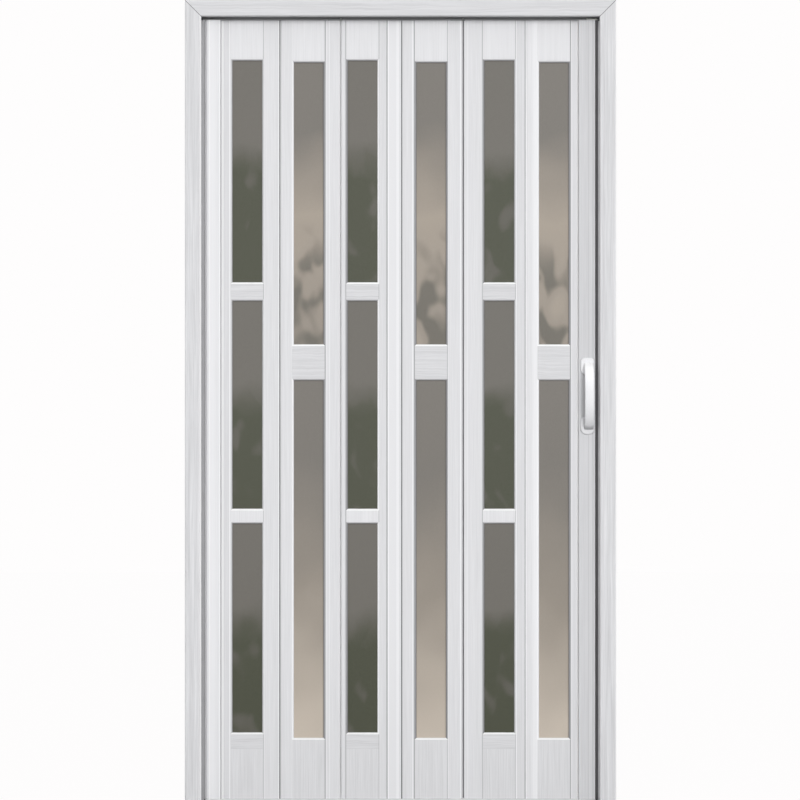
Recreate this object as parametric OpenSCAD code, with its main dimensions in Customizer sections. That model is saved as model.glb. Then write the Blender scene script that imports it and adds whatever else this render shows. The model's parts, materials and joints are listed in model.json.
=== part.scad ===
// Accordion door: six hinged panels with glass windows, hung from a top track,
// between a fixed wall post and a sliding lead post, inside a lined and cased doorway.
// The front is -Y. Y = 0 is the middle of the closed panels, Z = 0 is the floor,
// and X = 0 is the middle of the doorway.

/* [Panels] */
// Height of each folding panel
panel_h = 2030; // [2000:1:2200]
// Distance from one hinge line to the next
panel_pitch = 160; // [152:1:175]
// Thickness of the stiles, boards and bars
panel_t = 12; // [12:0.5:14]
// Gap between two panels at their hinge line
hinge_gap = 3; // [2.5:0.5:4]
// Width of a panel's left stile
stile_left_w = 32; // [32:1:38]
// Width of a panel's right stile on a panel of 160 mm pitch
stile_right_w = 39; // [36:1:42]
// How far the windows of the third panel sit to the left
window_shift_3 = -19; // [-19:1:0]
// How far the windows of the fifth panel sit to the right
window_shift_5 = 17.5; // [0:0.5:20]
// Distance of the groove in the third panel's wide right stile from its hinge line
stile_groove_x = 39.5; // [30:0.5:44]
// Width and twice the depth of that groove
stile_groove_w = 2; // [1:0.1:2]
// Wall thickness of the hollow plastic profiles
profile_wall = 2; // [1.5:0.1:2.2]
// Radius on the long outer edges of a stile
stile_edge_r = 1.8; // [0.5:0.1:1.8]

/* [Windows of the first, third and fifth panels] */
// Height of the top board
odd_top_board = 100; // [60:1:140]
// Height of the upper window
odd_window_upper = 587; // [500:1:620]
// Height of the bar under the upper window
odd_bar_upper = 40; // [30:1:60]
// Height of the middle window
odd_window_middle = 551; // [450:1:580]
// Height of the bar under the middle window
odd_bar_lower = 30; // [30:1:60]
// Height of the rail under the lower window
odd_bottom_rail = 38; // [30:1:60]
// Height of the bottom board; the lower window takes the rest of the panel
odd_bottom_board = 130; // [90:1:200]

/* [Windows of the second, fourth and sixth panels] */
// Height of the top board
even_top_board = 105; // [60:1:140]
// Height of the upper window
even_window_upper = 744; // [600:1:780]
// Height of the bar between the windows
even_bar = 85; // [50:1:120]
// Height of the bottom board; the lower window takes the rest of the panel
even_bottom_board = 154; // [90:1:220]

/* [Glazing] */
// Thickness of a pane
pane_t = 4; // [3:0.5:5]
// Width of the quarter-round bead round a pane
bead_w = 4.5; // [4:0.5:8]
// How far a bead's outer edge lies below the panel's face
bead_drop = 0.5; // [0:0.1:1]
// Thickness of a bead at the pane's edge
bead_lip = 0.5; // [0.3:0.1:1.5]
// Depth of the groove that holds panes and tongues
groove_d = 5; // [4:0.5:5]
// Play of a pane or a tongue in its groove
groove_play = 0.25; // [0.2:0.05:0.4]

/* [Hinge strips] */
// Width of a strip across both panels
strip_w = 13; // [12:0.5:14]
// Thickness of the strip's flexible web
strip_t = 0.9; // [0.7:0.1:1.2]
// Radius of the strip's anchoring bead
strip_bead_r = 1.6; // [1.2:0.1:1.7]
// Distance of that bead from the hinge line
strip_bead_x = 5.1; // [4.8:0.1:5.3]
// Depth of that bead below the panel's face
strip_bead_depth = 3.3; // [3:0.1:3.6]
// Thickness of the stem between web and bead
strip_stem_t = 1; // [0.8:0.1:1.2]
// Depth of the hinge axis below the panel's face
hinge_axis_depth = 0.4; // [0.3:0.05:0.5]
// Radius of the round rib along the strip's bending line
strip_rib_r = 0.7; // [0.6:0.05:0.9]
// Play of the strip in its channel
strip_play = 0.2; // [0.15:0.05:0.3]

/* [Posts] */
// Thickness of the wall post and the lead post
post_t = 36; // [32:1:40]
// Width of the wall post's face on the wall side of its hinge line
wall_post_face = 32; // [28:1:40]
// How far the wall post's front lip covers the first panel
wall_post_lip = 8; // [6:1:14]
// Radius of the wall post's outer front edge
wall_post_edge_r = 7; // [3:0.5:8]
// Width of the lead post's face beyond its hinge line
lead_post_face = 23; // [22:1:30]
// How far the lead post's front lip covers the last panel
lead_post_lip = 20; // [12:1:22]
// How far the lead post's back cheek reaches past its front face
lead_cheek_w = 11; // [8:1:11]
// Running gap between a post's lip and the panel's face
lip_clearance = 1; // [0.8:0.1:1.5]
// Radius of a lip's front edge
lip_edge_r = 2.5; // [1:0.5:3]
// Length of a post's tongue that carries the hinge strip
post_tongue = 8; // [8:0.5:10]
// Thickness of the wall post's insert and of the seal's seat
insert_t = 20; // [18:1:22]

/* [Channels and track] */
// Depth of the wall channel and the strike channel
channel_d = 24; // [20:1:26]
// Wall thickness of the channels and the track
channel_wall = 2; // [1.8:0.1:2.4]
// Play of the wall post in its channel
channel_play = 0.3; // [0.2:0.05:0.5]
// Width of the dark seal on the lead post
seal_t = 16; // [12:1:18]
// Width of the track
track_w = 30; // [28:1:36]
// Height of the track
track_h = 23; // [21:1:30]
// Width of the slot in the track
track_slot = 9; // [8:0.5:10]
// Clearance between the panels' tops and the track
track_clearance = 7; // [6:0.5:10]
// Clearance between the panels and the floor
floor_clearance = 8; // [5:1:20]

/* [Gliders] */
// Length of a glider's head along the track
glider_l = 20; // [16:1:21]
// Width of a glider's head across the track
glider_w = 18; // [16:1:20]
// Height of a glider's head
glider_h = 9; // [7:0.5:12]
// Radius of a glider's stem
glider_stem_r = 2; // [1.8:0.1:2.4]
// Play of a glider on the track and of a stem in its eye
glider_play = 0.1; // [0.05:0.05:0.1]

/* [Doorway] */
// Width of a casing board
casing_w = 42; // [36:1:70]
// Thickness of a casing board
casing_t = 12; // [10:1:18]
// Radius of a casing's inner and outer front edges
casing_edge_r = 4; // [1:0.5:4]
// Depth of the door lining, which is the wall's thickness
jamb_depth = 76; // [70:1:160]
// Thickness of the side linings
jamb_t = 18; // [16:1:22]
// How far the lining's inner face lies behind the casing's inner edge
jamb_setback = 18; // [16:1:18]
// Gap between the casing's inner edge and the wall post's face
reveal_wall = 8.5; // [7:0.5:14]
// Gap between the casing's inner edge and the lead post's face
reveal_lead = 10; // [9:0.5:14]
// Height of the head casing's lower edge above the panels
reveal_head = 4.5; // [3:0.5:8]
// Thickness of the head lining
head_t = 16; // [15:1:22]
// Radius of a hole for fixing the lining to the wall
fixing_hole_r = 3; // [2.5:0.25:4]
// Distance between two fixing holes
fixing_spacing = 800; // [600:10:900]
// Height of the lowest fixing hole
fixing_first = 250; // [150:10:300]
// Distance of the fixing holes behind the panels' middle plane
fixing_y = 27; // [22:1:29]

/* [Handles] */
// Length of a handle
handle_l = 200; // [160:1:240]
// Height of the handle's middle above the floor
handle_z = 1058; // [900:1:1200]
// Width of the front handle's feet
foot_w = 36; // [30:1:38]
// Width of the front handle's bow
bow_w = 24; // [16:1:24]
// How far the front handle's bow sits to the right of the middle of its feet
bow_shift = 3; // [0:0.5:3]
// Length of the front handle's bow
bow_l = 176; // [140:1:184]
// Width of the back handle's feet
back_foot_w = 24; // [22:1:26]
// Width of the back handle's bow
back_bow_w = 16; // [12:1:18]
// Length of the back handle's bow
back_bow_l = 154; // [130:1:160]
// Height of a foot along the handle
foot_h = 46; // [36:1:54]
// Thickness of a foot
foot_t = 6; // [5:0.5:8]
// Projection of the handle from the post
handle_out = 38; // [32:1:44]
// Thickness of the bow
bow_t = 8; // [6:0.5:10]
// Radius of the bow's long outer edges
bow_edge_r = 4; // [2:0.5:6]

/* [Hidden] */

$fn = 48;
panel_count = 6;
eps = 0.01;
over = 1;   // how far a cutting shape runs past the solid that it cuts

// Heights
panel_bottom = floor_clearance;
panel_top = panel_bottom + panel_h;
track_bottom = panel_top + track_clearance;
track_top = track_bottom + track_h;
lining_top = track_top + head_t;
casing_inner_top = panel_top + reveal_head;
casing_top = casing_inner_top + casing_w;
channel_top = panel_top - channel_wall;

// Places along the doorway, from the left
clear_w = reveal_wall + wall_post_face + panel_count * panel_pitch + lead_post_face + reveal_lead;
clear_half = clear_w / 2;
hinge_first = -clear_half + reveal_wall + wall_post_face;
lining_half = clear_half + jamb_setback;
casing_half = clear_half + casing_w;
function hinge_x(i) = hinge_first + i * panel_pitch;
hinge_last = hinge_x(panel_count);

// A hinge strip lies at the back on even hinge lines and at the front on odd ones
function hinge_side(i) = i % 2 == 0 ? 1 : -1;
hinge_axis_y = panel_t / 2 - hinge_axis_depth;
track_y = hinge_axis_y;

// Panels
panel_w = panel_pitch - hinge_gap;
band_w = panel_w - stile_left_w - stile_right_w;
function window_shift(i) = i == 3 ? window_shift_3 : i == 5 ? window_shift_5 : 0;
function panel_left(i) = hinge_x(i - 1) + hinge_gap / 2;
function left_stile_w(i) = stile_left_w + window_shift(i);
function right_stile_w(i) = stile_right_w - window_shift(i);
function band_left(i) = panel_left(i) + left_stile_w(i);
groove_w = pane_t + 2 * groove_play;
tongue_l = groove_d - groove_play;
bead_front = -panel_t / 2 + bead_drop;
bead_back = -pane_t / 2;
bead_r = min(bead_w, bead_back - bead_lip - bead_front);
strip_zone = strip_bead_x - hinge_gap / 2 + strip_bead_r + strip_play;

// A panel's pieces from the top down: each is [height, is it a window]
odd_fixed = odd_top_board + odd_window_upper + odd_bar_upper + odd_window_middle + odd_bar_lower
    + odd_bottom_rail + odd_bottom_board;
even_fixed = even_top_board + even_window_upper + even_bar + even_bottom_board;
odd_stack = [
    [odd_top_board, false], [odd_window_upper, true], [odd_bar_upper, false], [odd_window_middle, true],
    [odd_bar_lower, false], [panel_h - odd_fixed, true], [odd_bottom_rail, false]
];
even_stack = [
    [even_top_board, false], [even_window_upper, true], [even_bar, false], [panel_h - even_fixed, true]
];
function stack(i) = i % 2 == 1 ? odd_stack : even_stack;
function stack_sum(s, n) = n == 0 ? 0 : s[n - 1][0] + stack_sum(s, n - 1);
function stack_top(i, n) = panel_top - stack_sum(stack(i), n);
function stack_end(i) = stack_top(i, len(stack(i)));

// Posts
post_half = post_t / 2;
lip_inner = -(panel_t / 2 + lip_clearance);
insert_end_gap = 2;
wall_insert_end = wall_post_face + reveal_wall + jamb_setback - channel_wall - insert_end_gap;
channel_inner = insert_t + 2 * channel_play;
channel_half = channel_inner / 2 + channel_wall;
cheek_play = 0.5;
cheek_inner = channel_half + cheek_play;
seal_root = 5;
seal_root_t = 9;
lead_room_w = lead_post_face - seal_root - 2 * profile_wall - post_tongue;
strike_strip_t = 1;
strike_strip_w = 12;
// The hinge axes lie in alternate faces, so the chain of panels grows a little as it starts to fold
chain_l = panel_count * panel_pitch;
chain_growth = sqrt(pow(chain_l, 2) + pow(2 * panel_count * hinge_axis_y, 2)) - chain_l;
seal_end = lining_half - channel_wall - strike_strip_t - channel_play - chain_growth - hinge_last;

// Gliders
glider_z = track_bottom + channel_wall + glider_play;
bracket_t = 4;
collar_r = glider_stem_r + 1.4;
collar_t = 1.5;
eye_r = glider_stem_r + 3;
collar_z = panel_top + glider_play;
eye_z = collar_z + collar_t + glider_play;
bracket_prong_l = 16;
carrier_plug_l = 20;
carrier_plate_t = 3;
carrier_stem_r = glider_stem_r + 0.5;
carrier_inner_stem = hinge_gap / 2 + carrier_stem_r;
carrier_stem_gap = glider_l + 2;

// Fasteners
screw_r = 1.75;
screw_head_r = 3.6;
screw_l = 15;
screw_play = 0.05;
channel_screws = 5;
channel_screw_first = 60;
track_screws = 6;
track_screw_first = 60;
handle_screw_r = 1.75;
handle_screw_head_r = 3.2;
handle_screw_head_t = 2;
handle_screw_end_wall = 1.2;
handle_screw_from_end = 10;
handle_screw_x = hinge_last + post_tongue + profile_wall + lead_room_w / 2;
front_handle_x = hinge_last + lead_post_face - profile_wall - foot_w / 2;
back_handle_x = hinge_last + post_tongue + back_foot_w / 2;
bow_steps = 28;

// Points of an arc, from one angle to the other
function arc(cx, cy, r, from, to, n = 6) =
    [for (k = [0:n]) let (a = from + (to - from) * k / n) [cx + r * cos(a), cy + r * sin(a)]];

// A board's cross-section with its two front edges rounded: the front faces -Y
module rounded_board(w, t, r) {
    polygon(concat(
        [[0, t], [0, r]], arc(r, r, r, 180, 270), arc(w - r, r, r, 270, 360), [[w, t]]
    ));
}

// The keyhole channel and shallow seat for one wing of a hinge strip.
// The hinge line is at x = 0, the piece lies towards +X, and side says which face it is on.
module strip_seat(side) {
    face = side * panel_t / 2;
    bead_y = face - side * strip_bead_depth;
    translate([strip_bead_x, bead_y]) circle(r = strip_bead_r + strip_play);
    slot_w = strip_stem_t + 2 * strip_play;
    translate([strip_bead_x - slot_w / 2, min(bead_y, face)]) square([slot_w, abs(face - bead_y)]);
    seat_d = strip_t + strip_play / 2;
    translate([0, side > 0 ? face - seat_d : face - over])
        square([strip_w / 2 + strip_play, seat_d + over]);
}

// A hollow stile. Its outer end is at x = hinge_gap / 2 from the hinge line and its pane groove faces +X.
// face_groove is the distance of a groove in its front face from the hinge line, or 0 for none.
module stile_section(w, side, face_groove = 0) {
    half = panel_t / 2;
    start = hinge_gap / 2;
    room_from = start + strip_zone + profile_wall;
    room_to = start + w - groove_d - profile_wall;
    room = room_to - room_from;
    widest_room = 30;
    rooms = max(1, ceil(room / widest_room));
    room_w = (room - (rooms - 1) * profile_wall) / rooms;
    difference() {
        polygon(concat(
            arc(start + stile_edge_r, half - stile_edge_r, stile_edge_r, 90, 180),
            arc(start + stile_edge_r, -half + stile_edge_r, stile_edge_r, 180, 270),
            [[start + w, -half], [start + w, half]]
        ));
        strip_seat(side);
        translate([start + w - groove_d, -groove_w / 2]) square([groove_d + over, groove_w]);
        if (face_groove > 0)
            translate([face_groove, -half]) rotate(45)
                square(stile_groove_w / sqrt(2), center = true);
        if (room > 2 * profile_wall)
            for (k = [0:rooms - 1])
                translate([room_from + k * (room_w + profile_wall), -half + profile_wall])
                    square([room_w, panel_t - 2 * profile_wall]);
    }
}

module left_stile(i) {
    color("gainsboro")
        translate([hinge_x(i - 1), 0, panel_bottom])
            linear_extrude(panel_h) stile_section(left_stile_w(i), hinge_side(i - 1));
}

module right_stile(i) {
    color("gainsboro")
        translate([hinge_x(i), 0, panel_bottom])
            linear_extrude(panel_h)
                mirror([1, 0])
                    stile_section(right_stile_w(i), hinge_side(i), i == 3 ? stile_groove_x : 0);
}

// A hollow board or bar between the stiles, with a tongue at each side.
// groove_low and groove_high say whether a pane's edge sits in that end.
module infill(w, h, upright, groove_low, groove_high) {
    tongue_t = groove_w - 2 * groove_play;
    inner_t = panel_t - 2 * profile_wall;
    ribs = 3;
    room_w = (w - (ribs + 1) * profile_wall) / ribs;
    end_wall = groove_d + profile_wall;
    difference() {
        union() {
            translate([0, -panel_t / 2, 0]) cube([w, panel_t, h]);
            translate([-tongue_l, -tongue_t / 2, 0]) cube([w + 2 * tongue_l, tongue_t, h]);
        }
        if (upright)
            for (k = [0:ribs - 1])
                translate([profile_wall + k * (room_w + profile_wall), -inner_t / 2, -over])
                    cube([room_w, inner_t, h + 2 * over]);
        else
            translate([-over - tongue_l, -tongue_t / 4, end_wall])
                cube([w + 2 * (tongue_l + over), tongue_t / 2, h - 2 * end_wall]);
        if (groove_high)
            translate([-over - tongue_l, -groove_w / 2, h - groove_d])
                cube([w + 2 * (tongue_l + over), groove_w, groove_d + over]);
        if (groove_low)
            translate([-over - tongue_l, -groove_w / 2, -over])
                cube([w + 2 * (tongue_l + over), groove_w, groove_d + over]);
    }
}

module rails(i) {
    pieces = stack(i);
    last = len(pieces);
    color("whitesmoke") {
        for (n = [0:last - 1])
            if (!pieces[n][1])
                translate([band_left(i), 0, stack_top(i, n + 1)])
                    infill(band_w, pieces[n][0], n == 0, n + 1 < last && pieces[n + 1][1],
                        n > 0 && pieces[n - 1][1]);
        translate([band_left(i), 0, panel_bottom])
            infill(band_w, stack_end(i) - panel_bottom, true, false, pieces[last - 1][1]);
    }
}

module panes(i) {
    pieces = stack(i);
    inset = groove_d - 2 * groove_play;
    color("dimgray")
        for (n = [0:len(pieces) - 1])
            if (pieces[n][1])
                translate([band_left(i) - inset, -pane_t / 2, stack_top(i, n + 1) - inset])
                    cube([band_w + 2 * inset, pane_t, pieces[n][0] + 2 * inset]);
}

// The cross-section of what two facing beads leave open between them, in a window of size l
function bead_opening(l) = concat(
    [[0, bead_front - over]], arc(bead_w - bead_r, bead_front + bead_r, bead_r, 270, 360, 4),
    [[bead_w, bead_back + over], [l - bead_w, bead_back + over]],
    arc(l - bead_w + bead_r, bead_front + bead_r, bead_r, 180, 270, 4), [[l, bead_front - over]]
);

// One quarter-round bead frame on the front of a pane: w by h is the window between stiles and bars
module bead_frame(w, h) {
    difference() {
        translate([0, bead_front, 0]) cube([w, bead_back - bead_front, h]);
        intersection() {
            translate([0, 0, -over]) linear_extrude(h + 2 * over) polygon(bead_opening(w));
            translate([-over, 0, 0]) rotate([90, 0, 90]) linear_extrude(w + 2 * over)
                polygon([for (p = bead_opening(h)) [p[1], p[0]]]);
        }
    }
}

module beads(i) {
    pieces = stack(i);
    color("white")
        for (n = [0:len(pieces) - 1], face = [0, 1])
            if (pieces[n][1])
                translate([band_left(i), 0, stack_top(i, n + 1)])
                    mirror([0, face, 0]) bead_frame(band_w, pieces[n][0]);
}

// The flexible strip across one hinge line: a flat web with two anchoring beads
module hinge_strip(i) {
    side = hinge_side(i);
    face = panel_t / 2;
    color("darkgray")
        translate([hinge_x(i), 0, panel_bottom]) linear_extrude(panel_h)
            mirror([0, side > 0 ? 0 : 1]) {
                translate([-strip_w / 2, face - strip_t]) square([strip_w, strip_t]);
                translate([0, face - hinge_axis_depth]) circle(r = strip_rib_r);
                for (s = [-1, 1]) translate([s * strip_bead_x, face - strip_bead_depth]) {
                    circle(r = strip_bead_r);
                    translate([-strip_stem_t / 2, 0])
                        square([strip_stem_t, strip_bead_depth - strip_t / 2]);
                }
            }
}

// A post's cross-section. X runs from its hinge line away from the panels, the front is -Y.
module post_section(lip, face, edge_r, back_reach) {
    half = post_half;
    difference() {
        polygon(concat(
            arc(-lip + lip_edge_r, -half + lip_edge_r, lip_edge_r, 180, 270),
            arc(face - edge_r, -half + edge_r, edge_r, 270, 360),
            [
                [face, cheek_inner], [face + back_reach, cheek_inner], [face + back_reach, half],
                [post_tongue, half], [post_tongue, panel_t / 2], [hinge_gap / 2, panel_t / 2],
                [hinge_gap / 2, lip_inner], [-lip, lip_inner]
            ]
        ));
        strip_seat(1);
        translate([-lip + profile_wall, -half + profile_wall])
            square([lip + post_tongue - profile_wall, half + lip_inner - 2 * profile_wall]);
    }
}

module wall_post() {
    inner = post_tongue + profile_wall;
    color("gainsboro")
        translate([hinge_x(0), 0, panel_bottom]) mirror([1, 0, 0]) linear_extrude(panel_h)
            difference() {
                union() {
                    post_section(wall_post_lip, wall_post_face, wall_post_edge_r, 0);
                    translate([wall_post_face - eps, -insert_t / 2])
                        square([wall_insert_end - wall_post_face + eps, insert_t]);
                }
                translate([inner, -insert_t / 2 + profile_wall])
                    square([wall_insert_end - inner - profile_wall, insert_t - 2 * profile_wall]);
            }
}

module lead_post() {
    color("gainsboro")
        difference() {
            translate([hinge_last, 0, panel_bottom]) linear_extrude(panel_h)
                difference() {
                    post_section(lead_post_lip, lead_post_face, profile_wall, lead_cheek_w);
                    translate([post_tongue + profile_wall, -post_half + profile_wall])
                        square([lead_room_w, post_t - 2 * profile_wall]);
                    translate([lead_post_face - seal_root, -seal_root_t / 2])
                        square([seal_root + over, seal_root_t]);
                }
            handle_screws(screw_play);
        }
}

// The dark magnetic seal on the lead post's edge, which enters the strike channel
module magnet_seal() {
    color("dimgray")
        translate([hinge_last, 0, panel_bottom]) linear_extrude(panel_h) {
            translate([lead_post_face - seal_root + screw_play, -seal_root_t / 2 + screw_play])
                square([seal_root, seal_root_t - 2 * screw_play]);
            translate([lead_post_face, -seal_t / 2])
                square([seal_end - lead_post_face, seal_t]);
        }
}

// A countersunk screw along +Z, its head's top at z = 0, driven through a wall of channel_wall
module screw(play = 0) {
    mirror([0, 0, 1]) {
        cylinder(r1 = screw_head_r + play, r2 = screw_r + play, h = channel_wall);
        translate([0, 0, channel_wall - eps]) cylinder(r = screw_r + play, h = screw_l - channel_wall + play);
    }
}

function channel_screw_heights() =
    [for (k = [0:channel_screws - 1])
        channel_screw_first + k * (channel_top - 2 * channel_screw_first) / (channel_screws - 1)];
function track_screw_places() =
    [for (k = [0:track_screws - 1])
        -lining_half + track_screw_first + k * 2 * (lining_half - track_screw_first) / (track_screws - 1)];

module frame_screws(play = 0) {
    for (side = [-1, 1], z = channel_screw_heights())
        translate([side * (lining_half - channel_wall), 0, z]) rotate([0, side * -90, 0]) screw(play);
    for (x = track_screw_places())
        translate([x, track_y, track_top - channel_wall]) rotate([180, 0, 0]) screw(play);
}

// The U-shaped channel on the left lining; the strike channel is its mirror image
module channel() {
    difference() {
        translate([-lining_half, -channel_half, 0]) cube([channel_d, 2 * channel_half, channel_top]);
        translate([-lining_half + channel_wall, -channel_inner / 2, -over])
            cube([channel_d, channel_inner, channel_top + 2 * over]);
        frame_screws(screw_play);
    }
}

module strike_strip() {
    color("silver")
        translate([lining_half - channel_wall - strike_strip_t, -strike_strip_w / 2, channel_screw_first / 2])
            cube([strike_strip_t, strike_strip_w, channel_top - channel_screw_first]);
}

module top_track() {
    end_gap = 1;
    length = 2 * (lining_half - end_gap);
    inner_w = track_w - 2 * channel_wall;
    color("dimgray")
        difference() {
            translate([-length / 2, track_y - track_w / 2, track_bottom]) cube([length, track_w, track_h]);
            translate([-length / 2 - over, track_y - inner_w / 2, track_bottom + channel_wall])
                cube([length + 2 * over, inner_w, track_h - 2 * channel_wall]);
            translate([-length / 2 - over, track_y - track_slot / 2, track_bottom - over])
                cube([length + 2 * over, track_slot, channel_wall + 2 * over]);
            frame_screws(screw_play);
        }
}

// A glider's head with its stem going down to stem_bottom; the stem's axis is the Z axis
module glider_head(stem_bottom, stem_r) {
    nose = 3;
    translate([0, 0, glider_z]) linear_extrude(glider_h)
        polygon([
            [-glider_l / 2, -glider_w / 2 + nose], [-glider_l / 2 + nose, -glider_w / 2],
            [glider_l / 2 - nose, -glider_w / 2], [glider_l / 2, -glider_w / 2 + nose],
            [glider_l / 2, glider_w / 2 - nose], [glider_l / 2 - nose, glider_w / 2],
            [-glider_l / 2 + nose, glider_w / 2], [-glider_l / 2, glider_w / 2 - nose]
        ]);
    translate([0, 0, stem_bottom]) cylinder(r = stem_r, h = glider_z + glider_h / 2 - stem_bottom);
}

module glider(i) {
    color("white")
        translate([hinge_x(i), track_y, 0]) {
            glider_head(collar_z, glider_stem_r);
            translate([0, 0, collar_z]) cylinder(r = collar_r, h = collar_t);
        }
}

// The push-in bracket on the panel left of hinge line i: an eye over the hinge axis takes a glider's stem
module hanger_bracket(i) {
    room_from = hinge_gap / 2 + strip_zone + profile_wall + groove_play;
    room_to = hinge_gap / 2 + stile_right_w - groove_d - profile_wall - groove_play;
    prong_t = panel_t - 2 * profile_wall - 2 * groove_play;
    eye_back = collar_r + 2 * glider_play + 1;
    color("silver")
        difference() {
            union() {
                translate([hinge_x(i) - room_to, -panel_t / 2, panel_top])
                    cube([room_to - eye_back, panel_t, bracket_t]);
                translate([hinge_x(i) - eye_back - eps, hinge_axis_y - eye_r, eye_z])
                    cube([eye_back + eps, 2 * eye_r, panel_top + bracket_t - eye_z]);
                translate([hinge_x(i), hinge_axis_y, eye_z])
                    cylinder(r = eye_r, h = panel_top + bracket_t - eye_z);
                translate([hinge_x(i) - room_to, -prong_t / 2, panel_top - bracket_prong_l])
                    cube([room_to - room_from, prong_t, bracket_prong_l + eps]);
            }
            translate([hinge_x(i), hinge_axis_y, panel_top - over])
                cylinder(r = glider_stem_r + glider_play, h = bracket_t + 2 * over);
        }
}

// The plug in the lead post's top that carries the post on two gliders
module lead_carrier() {
    plate_from = hinge_gap / 2;
    plate_to = carrier_inner_stem + carrier_stem_gap + carrier_stem_r;
    color("white")
        translate([hinge_last, 0, 0]) {
            translate([post_tongue + profile_wall + groove_play, -post_half + profile_wall + groove_play,
                       panel_top - carrier_plug_l])
                cube([lead_room_w - 2 * groove_play, post_t - 2 * profile_wall - 2 * groove_play,
                      carrier_plug_l + eps]);
            translate([plate_from, -post_half + profile_wall, panel_top])
                cube([plate_to - plate_from, post_t - 2 * profile_wall, carrier_plate_t]);
            for (k = [0, 1])
                translate([carrier_inner_stem + k * carrier_stem_gap, track_y, 0])
                    glider_head(panel_top, carrier_stem_r);
        }
}

function handle_screw_heights() =
    [for (s = [-1, 1]) handle_z + s * (handle_l / 2 - handle_screw_from_end)];

// The line of a bow seen from the side: t from -1 to 1 gives [height, projection]
function bow_point(t, length, out) = [t * length / 2, out * pow(1 - pow(abs(t), 3.2), 0.55)];

// A handle that stands out along -Y from y = 0, its middle at z = 0 and its bow shifted towards +X
module handle(w_foot, w_bow, l_bow, shift) {
    foot_r = w_foot / 2;
    outline = concat(
        [for (k = [0:bow_steps]) bow_point(-1 + 2 * k / bow_steps, l_bow, handle_out)],
        [for (k = [bow_steps:-1:0]) bow_point(-1 + 2 * k / bow_steps, l_bow - 2 * bow_t, handle_out - bow_t)]
    );
    for (s = [-1, 1]) translate([0, 0, s * (handle_l - foot_h) / 2]) rotate([90, 0, 0])
        linear_extrude(foot_t) {
            for (e = [-1, 1]) translate([0, e * (foot_h / 2 - foot_r)]) circle(r = foot_r);
            square([w_foot, foot_h - w_foot], center = true);
        }
    translate([shift - w_bow / 2, 0, 0]) intersection() {
        rotate([90, 0, 90]) linear_extrude(w_bow) polygon([for (p = outline) [-p[1], p[0]]]);
        translate([0, -handle_out, -handle_l / 2]) linear_extrude(handle_l)
            rounded_board(w_bow, handle_out, bow_edge_r);
    }
}

module handle_front() {
    color("white") difference() {
        translate([front_handle_x, -post_half, handle_z]) handle(foot_w, bow_w, bow_l, bow_shift);
        handle_screws(screw_play);
    }
}

module handle_back() {
    color("white") difference() {
        translate([back_handle_x, post_half, handle_z]) mirror([0, 1, 0])
            handle(back_foot_w, back_bow_w, back_bow_l, 0);
        handle_screws(screw_play);
    }
}

// The two screws that join the handles through the lead post, with their heads in the back feet
module handle_screws(play = 0) {
    head_y = post_half + foot_t;
    tip_y = -post_half - foot_t + handle_screw_end_wall;
    color("silver")
        for (z = handle_screw_heights())
            translate([handle_screw_x, head_y, z]) rotate([90, 0, 0]) {
                cylinder(r1 = handle_screw_head_r + play, r2 = handle_screw_r + play,
                         h = handle_screw_head_t);
                cylinder(r = handle_screw_r + play, h = head_y - tip_y + play);
            }
}

function fixing_heights() = [for (k = [0:2]) fixing_first + k * fixing_spacing];

module jamb(side) {
    color("lightgray")
        difference() {
            translate([side > 0 ? lining_half : -lining_half - jamb_t, -jamb_depth / 2, 0])
                cube([jamb_t, jamb_depth, lining_top]);
            for (z = fixing_heights())
                translate([side * (lining_half - over), fixing_y, z]) rotate([0, side * 90, 0])
                    cylinder(r = fixing_hole_r, h = jamb_t + 2 * over);
            frame_screws(screw_play);
        }
}

module head_jamb() {
    color("lightgray")
        difference() {
            translate([-lining_half, -jamb_depth / 2, track_top]) cube([2 * lining_half, jamb_depth, head_t]);
            frame_screws(screw_play);
        }
}

// A mitred casing board on the front of the lining
module casing_side(side) {
    mitre = casing_w * 2;
    difference() {
        mirror([side > 0 ? 0 : 1, 0, 0])
            translate([clear_half, -jamb_depth / 2 - casing_t, 0]) linear_extrude(casing_top)
                rounded_board(casing_w, casing_t, casing_edge_r);
        translate([side * clear_half, 0, casing_inner_top]) rotate([0, side * -45, 0])
            translate([-mitre, -jamb_depth, 0]) cube([2 * mitre, 2 * jamb_depth, mitre]);
    }
}

module casing_head() {
    mitre = casing_w * 2;
    difference() {
        translate([-casing_half, -jamb_depth / 2 - casing_t, casing_top]) rotate([0, 90, 0])
            linear_extrude(2 * casing_half) rounded_board(casing_w, casing_t, casing_edge_r);
        for (side = [-1, 1])
            translate([side * clear_half, 0, casing_inner_top]) rotate([0, side * -45, 0])
                translate([-mitre, -jamb_depth, -mitre]) cube([2 * mitre, 2 * jamb_depth, mitre]);
    }
}

module casing_back() {
    color("lightgray") mirror([0, 1, 0]) {
        casing_side(-1);
        casing_side(1);
        casing_head();
    }
}

jamb(-1);  // jamb_left
jamb(1);  // jamb_right
head_jamb();
color("lightgray") casing_side(-1);  // casing_front_left
color("lightgray") casing_side(1);  // casing_front_right
color("lightgray") casing_head();  // casing_front_head
casing_back();
top_track();
color("gray") channel();  // wall_channel
wall_post();
color("gray") mirror([1, 0, 0]) channel();  // strike_channel
strike_strip();
color("silver") frame_screws();
lead_post();
magnet_seal();
lead_carrier();
handle_front();
handle_back();
handle_screws();
for (i = [0:panel_count])
    hinge_strip(i);
for (i = [2, 4]) {
    hanger_bracket(i);
    glider(i);
}
for (i = [1:panel_count]) {
    left_stile(i);
    right_stile(i);
    rails(i);
    panes(i);
    beads(i);
}
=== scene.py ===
import json
import math

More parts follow.
